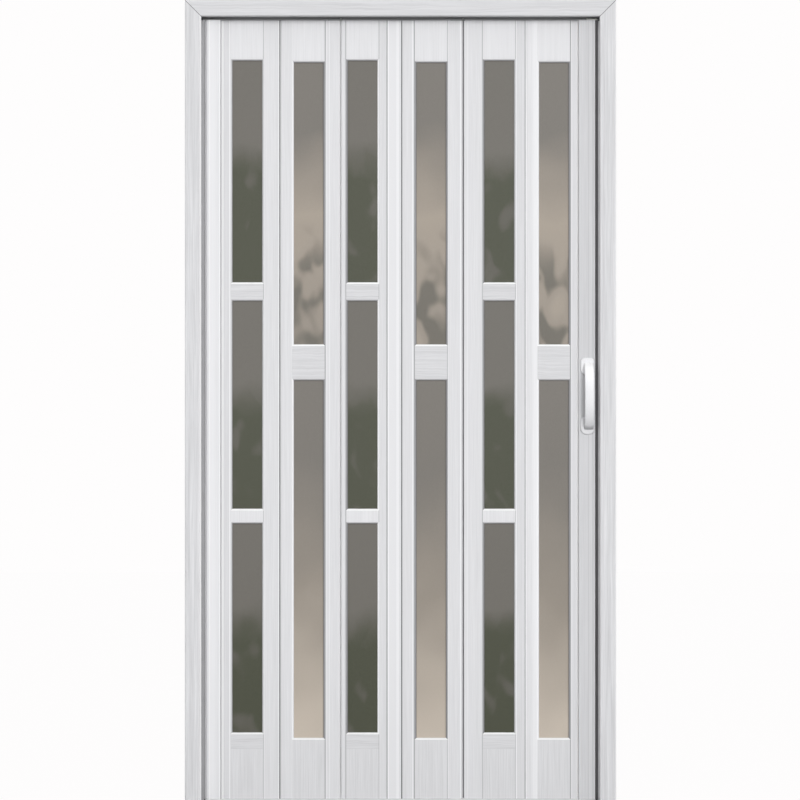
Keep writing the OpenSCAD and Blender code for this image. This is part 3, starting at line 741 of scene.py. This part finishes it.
def dress_stiles(i, left, right):
    """The two stiles of one panel, whose windows lie between left and right."""
    for side, window in (("left", left), ("right", right)):
        node = f"panel_{i}_{side}_stile"
        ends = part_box(node)
        outer = ends[0].x if side == "left" else ends[1].x
        tone = STILE_TONES.get(node, PROFILE)
        # The walls of the slot between panels 2 and 3 are painted white, painted light against the slot's
        # shade
        dress(node, ash_foil(
            f"{node}_ash", tone, 31 + 7 * i + len(side), grain=0.9, drift=0.35,
            shading_and_joint_lines=stile_shading_lines(i, side, window, outer),
            left_side_light=WHITE_SIDE_LIGHT if node == "panel_3_left_stile" else LEFT_SIDE_SHADE,
            right_side_light=WHITE_SIDE_LIGHT if node == "panel_2_right_stile" else RIGHT_SIDE_HIGHLIGHT))


def dress_boards(i, odd, right):
    """The boards and bars of one panel: an odd one's bottom rail touches its bottom board."""
    boards = spans(f"panel_{i}_rails")
    top = boards[0][1]
    rail = top - ODD_BOTTOM_RAIL
    off, half, tone = BOARD_JOINT
    dress(f"panel_{i}_rails", ash_foil(
        f"panel_{i}_board_ash", BOARD, 60 + 9 * i, grain=0.8, drift=0.35,
        bars=[(rail, top), boards[2]] if odd else [boards[1]],
        foot=rail if odd else top,
        shading_and_joint_lines=(shading_or_joint_line(right - off, half, tone),)))


def dress_panels():
    for i in range(1, PANELS + 1):
        odd = i % 2 == 1
        beads = f"panel_{i}_beads"
        low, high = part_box(beads)
        dress_stiles(i, low.x, high.x)
        dress_boards(i, odd, high.x)
        dress(beads, quarter_round_beads(
            f"panel_{i}_bead_white", spans(beads), low.x, high.x, LEFT_BEADS[i], RIGHT_BEADS[i]))
        dress_panes(i, odd)


def dress_panes(i, odd):
    """The panes of one panel: on an even one, the upper pane and the lower pane differ in the tone of their
    painted reflection.
    """
    node = f"panel_{i}_panes"
    windows = spans(node)
    if odd:
        dress(node, smoked_glass(f"panel_{i}_glass", windows, i, ODD_STOPS, SLATE, OLIVE, 0.62))
        return
    low, high = windows
    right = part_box(node)[1].x
    dress(node, smoked_glass(f"panel_{i}_low_glass", [low], i, LOW_STOPS, SAND, SLATE, 0.0, right))
    mesh = frame["nodes"][node].data
    mesh.materials.append(smoked_glass(
        f"panel_{i}_high_glass", [high], i, HIGH_STOPS, SAND, SLATE, 0.42, right))
    for face in mesh.polygons:
        face.material_index = 1 if face.center.z > low[1] else 0


# Hinge strips

def joint_of(index):
    return next(j for j in frame["joints"] if j["name"] == f"fold_{index}")


# For each strip: how far its lines lie to the right of the hinge, then the tones of its rim, of its
# soft middle and of the shaded line beside it. The rim is a painted highlight, except on strip 5; the
# line beside the middle is painted shade, and on strip 5 a painted highlight. The soft middle has the
# web's own grey, painted paler on strips 2 and 4 against the shade of their slots, and strip 2 is
# painted white all across.
COMMON_STRIP = (0.0, 246, 122, 186)
STRIPS = {
    1: (0.0013, 254, 120, 196), 2: (0.0, 255, 255, 255), 3: (-0.0008, 242, 118, 206),
    4: (0.0, 246, 190, 190), 5: (0.0018, 222, 178, 250)
}


def make_strip(index, wings):
    """A strip across one hinge line, with firm wings and a soft middle in narrow columns, where it bends."""
    shift, rim, soft, shade = STRIPS.get(index, COMMON_STRIP)
    node = f"hinge_strip_{index}"
    joint = joint_of(index)
    axis = Vector(joint["pos_m"])
    source = frame["nodes"][node]
    strip = bpy.data.objects.new(f"soft_strip_{index}", source.data.copy())
    bpy.context.scene.collection.objects.link(strip)
    only(strip)
    bpy.ops.object.mode_set(mode="EDIT")
    bpy.ops.mesh.select_all(action="SELECT")
    bpy.ops.mesh.remove_doubles(threshold=WELD_DISTANCE)
    columns = [STRIP_BEND * (2 * k / (STRIP_COLUMNS - 1) - 1) for k in range(STRIP_COLUMNS)]
    for cut in columns + [shift + end for end in STRIP_ZONES]:
        bpy.ops.mesh.select_all(action="SELECT")
        bpy.ops.mesh.bisect(plane_co=(axis.x + cut, 0, 0), plane_no=(1, 0, 0))
    bpy.ops.object.mode_set(mode="OBJECT")
    strip.data.materials.clear()
    strip.data.materials.append(wings)
    strip.data.materials.append(ash_foil(f"strip_{index}_rim", rim, 79, grain=0.3, drift=0.2))
    strip.data.materials.append(moulded(f"strip_{index}_soft", white(soft), 0.6))
    strip.data.materials.append(moulded(f"strip_{index}_shade", white(shade), 0.6))
    for face in strip.data.polygons:
        place = face.center.x - axis.x - shift
        face.material_index = sum(place > end for end in STRIP_ZONES) % len(STRIP_ZONES)
    smooth(strip)
    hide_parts(node)
    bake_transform(strip)


# Handles

# Sizes of the two handles. The back one is narrower, because the post's back cheek is.
FRONT_HANDLE = {
    "foot_width": 0.036, "bow_width": 0.024, "bow_length": 0.176, "bow_shift": 0.003,
    "top_corner": 0.010, "bottom_corner": 0.016
}
BACK_HANDLE = {
    "foot_width": 0.024, "bow_width": 0.016, "bow_length": 0.154, "bow_shift": 0.0,
    "top_corner": 0.010, "bottom_corner": 0.010
}

# Exponents that shape a bow: its arch, its shoulders and the roundness of its section
BOW_ARCH = 3.2
BOW_SHOULDER = 0.55
BOW_SECTION = 0.6

# How a handle's painted light and shade change from its top, at 0, to its bottom, at 1, and half that height
BOW_LIGHT_STOPS = ((0.0, white(255)), (0.18, white(253)), (0.45, white(241)), (0.75, white(232)),
             (0.92, white(226)), (1.0, white(160)))
FOOT_LIGHT_STOPS = ((0.0, white(236)), (0.5, white(232)), (1.0, white(224)))
TONE_REACH = 0.088

# The painted shadow line where a handle meets the post: where it fades out, where it is full, and how strong
POST_SHADOW_END = 0.0016
POST_SHADOW_CORE = 0.0006
POST_SHADOW_STRENGTH = 0.75


def handle_white(name, node):
    """Smooth white plastic with painted light and shade: the bow is painted whitest at its top and greyer
    down to a painted shadow at its bottom end, the feet greyer down too, and a painted shadow line lies at
    the post.
    """
    low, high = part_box(node)
    middle = (low.z + high.z) / 2
    post_face = high.y if low.y < 0 else low.y
    paint = Paint(name)
    x, y, z = paint.split()
    fall = paint.remap(z, middle + TONE_REACH, middle - TONE_REACH)
    cloud = paint.noise(paint.place, scale=24.0, detail=3.0)
    fall = paint.math("ADD", fall, paint.remap(cloud, 0.3, 0.7, -0.02, 0.02))
    bow = paint.ramp(fall, BOW_LIGHT_STOPS)
    foot = paint.ramp(fall, FOOT_LIGHT_STOPS)
    standing = paint.distance(y, [post_face])
    colour = paint.mix(paint.remap(standing, FOOT_THICK, FOOT_THICK * 1.5), foot, bow)
    line = paint.remap(standing, POST_SHADOW_END, POST_SHADOW_CORE, 0.0, POST_SHADOW_STRENGTH)
    colour = paint.mix(line, colour, white(110))
    pebble = paint.noise(paint.place, scale=600.0, detail=2.0)
    paint.bump(pebble, 0.00001, 0.6)
    return paint.finish(colour, paint.remap(pebble, 0.3, 0.7, 0.24, 0.30), Coat_Weight=0.2)


def plate_foot(x, y, z, width, out, top_corner, bottom_corner):
    """A foot that stands out from y, with its own radius on its upper and its lower corners."""
    bpy.ops.mesh.primitive_cube_add(size=1, location=(x, y + out * FOOT_THICK / 2, z))
    foot = bpy.context.active_object
    foot.scale = (width, FOOT_THICK, FOOT_HEIGHT)
    bpy.ops.object.transform_apply(location=True, rotation=True, scale=True)
    for side, corner in ((1, top_corner), (-1, bottom_corner)):
        choose_edges(foot, lambda a, b: abs(a.y - b.y) > FOOT_THICK / 2 and side * (a.z - z) > 0)
        bpy.ops.mesh.bevel(offset=corner, segments=CORNER_STEPS, affect="EDGES")
        bpy.ops.object.mode_set(mode="OBJECT")
    rim = foot.modifiers.new("rim", "BEVEL")
    rim.width = FOOT_THICK * 0.5
    rim.segments = 4
    rim.limit_method = "ANGLE"
    apply_modifiers(foot)
    return foot


def bow_line(share, length, reach):
    """A point on the middle line of a bow: height and projection, share from -1 to 1."""
    return (share * length / 2, reach * (1 - abs(share) ** BOW_ARCH) ** BOW_SHOULDER)


def make_bow(x, y, z, width, length, reach, out):
    """The bow: a ring drawn out along its arched line."""
    bpy.ops.mesh.primitive_circle_add(vertices=BOW_SIDES, radius=1.0, fill_type="NGON",
                                      location=(0, 0, 0))
    bow = bpy.context.active_object
    middle = reach - BOW_THICK / 2
    points = []
    for k in range(BOW_RINGS + 1):
        share = math.sin(math.pi / 2 * (-1 + 2 * k / BOW_RINGS))
        height, projection = bow_line(share, length - BOW_THICK, middle)
        points.append(Vector((x, y + out * projection, z + height)))
    for vertex in bow.data.vertices:
        angle = math.atan2(vertex.co.y, vertex.co.x)
        sx = math.copysign(abs(math.cos(angle)) ** BOW_SECTION, math.cos(angle))
        sy = math.copysign(abs(math.sin(angle)) ** BOW_SECTION, math.sin(angle))
        vertex.co = points[0] + Vector((sx * width / 2, 0, sy * BOW_THICK / 2))
    bpy.ops.object.mode_set(mode="EDIT")
    bpy.ops.mesh.select_all(action="SELECT")
    heading = Vector((0, out, 0))
    for before, after in zip(points, points[1:]):
        step = after - before
        bpy.ops.mesh.extrude_region_move(TRANSFORM_OT_translate={"value": step})
        turned = Vector((0, step.y, step.z)).normalized()
        angle = math.atan2(heading.cross(turned).x, heading.dot(turned))
        bpy.ops.transform.rotate(value=-angle, orient_axis="X", center_override=after)
        heading = turned
    bpy.ops.mesh.select_all(action="SELECT")
    bpy.ops.mesh.normals_make_consistent(inside=False)
    bpy.ops.object.mode_set(mode="OBJECT")
    return bow


def fill_box(obj, low, high):
    """Stretches a mesh a little, so that it fills a box again after it was smoothed."""
    corners = [v.co for v in obj.data.vertices]
    own_low = Vector(min(c[k] for c in corners) for k in range(3))
    own_high = Vector(max(c[k] for c in corners) for k in range(3))
    for vertex in obj.data.vertices:
        vertex.co = Vector(
            low[k] + (vertex.co[k] - own_low[k]) * (high[k] - low[k]) / (own_high[k] - own_low[k])
            for k in range(3)
        )


def run_together(pieces, name):
    """Joins pieces into one mesh and softens the places where they meet."""
    nothing_selected()
    for piece in pieces:
        piece.select_set(True)
    bpy.context.view_layer.objects.active = pieces[0]
    bpy.ops.object.join()
    joined = bpy.context.active_object
    remesh = joined.modifiers.new("one_moulding", "REMESH")
    remesh.mode = "VOXEL"
    remesh.voxel_size = HANDLE_VOXEL
    soft = joined.modifiers.new("soft", "SMOOTH")
    soft.factor = 0.5
    soft.iterations = 4
    apply_modifiers(joined)
    return settle(joined, name)


def make_handle(name, node, material, sizes):
    """A handle of two feet and a bow, run together into one moulding."""
    low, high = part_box(node)
    front = low.y < 0
    out = -1 if front else 1
    y = high.y if front else low.y
    x, z = (low.x + high.x) / 2, (low.z + high.z) / 2
    pieces = [make_bow(
        x + sizes["bow_shift"], y, z, sizes["bow_width"], sizes["bow_length"], high.y - low.y, out)]
    foot_z = (high.z - low.z - FOOT_HEIGHT) / 2
    for place in (z + foot_z, z - foot_z):
        pieces.append(plate_foot(
            x, y, place, sizes["foot_width"], out, sizes["top_corner"], sizes["bottom_corner"]))
    handle = run_together(pieces, name)
    for vertex in handle.data.vertices:
        vertex.co.y = min(vertex.co.y, y) if front else max(vertex.co.y, y)
    fill_box(handle, low, high)
    if not front:
        drill_screw_holes(handle, y)
    handle.data.materials.clear()
    handle.data.materials.append(material)
    smooth(handle, 60)
    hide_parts(node)
    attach(handle, "lead_post")


def drill_screw_holes(handle, y):
    """Opens the back handle's feet over the screw heads."""
    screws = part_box("handle_screws")
    hole_x = (screws[0].x + screws[1].x) / 2
    for hole_z in (screws[0].z + SCREW_HEAD, screws[1].z - SCREW_HEAD):
        bpy.ops.mesh.primitive_cylinder_add(
            vertices=32, radius=SCREW_HEAD, depth=SCREW_HOLE_DEPTH,
            location=(hole_x, y + SCREW_HOLE_DEPTH / 2 + SCREW_HOLE_FLOOR, hole_z),
            rotation=(math.radians(90), 0, 0))
        cutter = bpy.context.active_object
        cut = handle.modifiers.new("screw_hole", "BOOLEAN")
        cut.object = cutter
        cut.operation = "DIFFERENCE"
        apply_modifiers(handle)
        bpy.data.objects.remove(cutter)


# Studio

BACKDROP = linear(254, 253, 253)
FLOOR_GLOW = 0.985
FLOOR_BOUNCE = 0.32

# The shaded floor under the door: half its width, half its depth, and how far its shade fades out
UNDER_DOOR = (0.515, 0.05, 0.04)

# The surround's light from below and from above
SKY_LOW = 0.30
SKY_HIGH = 0.55


def make_floor():
    """A pale floor that the camera sees bright, and that gives the door little light from below."""
    bpy.ops.mesh.primitive_plane_add(size=16, location=(0, 0, 0))
    floor = bpy.context.active_object
    floor.name = "studio_floor"
    paint = Paint("studio_floor")
    speck = paint.noise(paint.place, scale=3.0, detail=2.0)
    paint.finish(paint.mix(paint.remap(speck, 0.3, 0.7), linear(246, 246, 246), linear(242, 242, 242)), 0.9)
    dim = paint.node("ShaderNodeBsdfDiffuse")
    dim.inputs["Color"].default_value = (FLOOR_BOUNCE, FLOOR_BOUNCE, FLOOR_BOUNCE, 1)
    glow = paint.node("ShaderNodeEmission")
    glow.inputs["Color"].default_value = BACKDROP
    x, y, z = paint.split()
    beside = paint.math("SUBTRACT", paint.math("ABSOLUTE", x), UNDER_DOOR[0])
    before = paint.math("SUBTRACT", paint.math("ABSOLUTE", y), UNDER_DOOR[1])
    away = paint.math("MAXIMUM", beside, before)
    seen = paint.node("ShaderNodeMixShader")
    paint.feed(seen.inputs["Fac"], paint.remap(away, 0.0, UNDER_DOOR[2], 0.0, FLOOR_GLOW))
    paint.links.new(paint.shader.outputs["BSDF"], seen.inputs[1])
    paint.links.new(glow.outputs["Emission"], seen.inputs[2])
    rays = paint.node("ShaderNodeLightPath")
    blend = paint.node("ShaderNodeMixShader")
    paint.links.new(rays.outputs["Is Camera Ray"], blend.inputs["Fac"])
    paint.links.new(dim.outputs["BSDF"], blend.inputs[1])
    paint.links.new(seen.outputs["Shader"], blend.inputs[2])
    paint.links.new(blend.outputs["Shader"], paint.nodes["Material Output"].inputs["Surface"])
    floor.data.materials.append(paint.material)


def make_sky():
    """A plain white surround, which lights the door softly and more from above than from below."""
    world = bpy.data.worlds.new("studio")
    bpy.context.scene.world = world
    world.use_nodes = True
    nodes, links = world.node_tree.nodes, world.node_tree.links
    light = nodes["Background"]
    seen = nodes.new("ShaderNodeBackground")
    seen.inputs["Color"].default_value = BACKDROP
    seen.inputs["Strength"].default_value = 1.0
    where = nodes.new("ShaderNodeTexCoord")
    parts = nodes.new("ShaderNodeSeparateXYZ")
    links.new(where.outputs["Generated"], parts.inputs["Vector"])
    fall = nodes.new("ShaderNodeMapRange")
    links.new(parts.outputs["Z"], fall.inputs["Value"])
    fall.inputs["From Min"].default_value = -0.2
    fall.inputs["From Max"].default_value = 0.9
    fall.inputs["To Min"].default_value = SKY_LOW
    fall.inputs["To Max"].default_value = SKY_HIGH
    light.inputs["Color"].default_value = (0.985, 0.99, 1.0, 1)
    links.new(fall.outputs["Result"], light.inputs["Strength"])
    path = nodes.new("ShaderNodeLightPath")
    shown = path.outputs["Is Camera Ray"]
    for ray in ("Is Glossy Ray", "Is Transmission Ray"):
        either = nodes.new("ShaderNodeMath")
        either.operation = "MAXIMUM"
        links.new(shown, either.inputs[0])
        links.new(path.outputs[ray], either.inputs[1])
        shown = either.outputs["Value"]
    mixed = nodes.new("ShaderNodeMixShader")
    links.new(shown, mixed.inputs["Fac"])
    links.new(light.outputs["Background"], mixed.inputs[1])
    links.new(seen.outputs["Background"], mixed.inputs[2])
    links.new(mixed.outputs["Shader"], nodes["World Output"].inputs["Surface"])


def make_lamps():
    """Two soft lamps before the door and one behind it, which leave no highlights in the glass."""
    for name, towards, strength, spread in (
        ("key", (0.22, -0.95, 0.14), 1.75, 24),
        ("fill", (-0.50, -0.84, 0.20), 0.5, 40),
        ("back", (0.25, 0.93, 0.28), 1.5, 40),
    ):
        lamp = bpy.data.lights.new(name, "SUN")
        lamp.energy = strength
        lamp.angle = math.radians(spread)
        holder = bpy.data.objects.new(name, lamp)
        bpy.context.scene.collection.objects.link(holder)
        holder.visible_glossy = False
        holder.location = Vector(towards) * 4
        holder.rotation_mode = "QUATERNION"
        holder.rotation_quaternion = Vector(towards).to_track_quat("Z", "Y")


def make_camera():
    data = bpy.data.cameras.new("camera")
    camera = bpy.data.objects.new("camera", data)
    bpy.context.scene.collection.objects.link(camera)
    bpy.context.scene.camera = camera
    camera.location = (CAMERA_X, -CAMERA_DISTANCE, CAMERA_Z)
    camera.rotation_euler = (math.radians(90), 0, 0)
    data.sensor_width = SENSOR
    data.lens = SENSOR * (CAMERA_DISTANCE - PANEL_FACE) / (PHOTO_WIDTH * PIXEL)
    data.clip_end = 60


make_camera()
make_floor()
make_sky()
make_lamps()
dress_frame()
dress_channels()
dress_posts()
dress_panels()
strip_wings = ash_foil("strip_wings", PROFILE, 77, grain=0.6, drift=0.2)
for strip_index in range(PANELS + 1):
    make_strip(strip_index, strip_wings)
make_handle("bow_handle_front", "handle_front", handle_white("front_handle_white", "handle_front"),
            FRONT_HANDLE)
make_handle("bow_handle_back", "handle_back", handle_white("back_handle_white", "handle_back"),
            BACK_HANDLE)

soften_joints()

bpy.context.scene.view_settings.view_transform = "Standard"
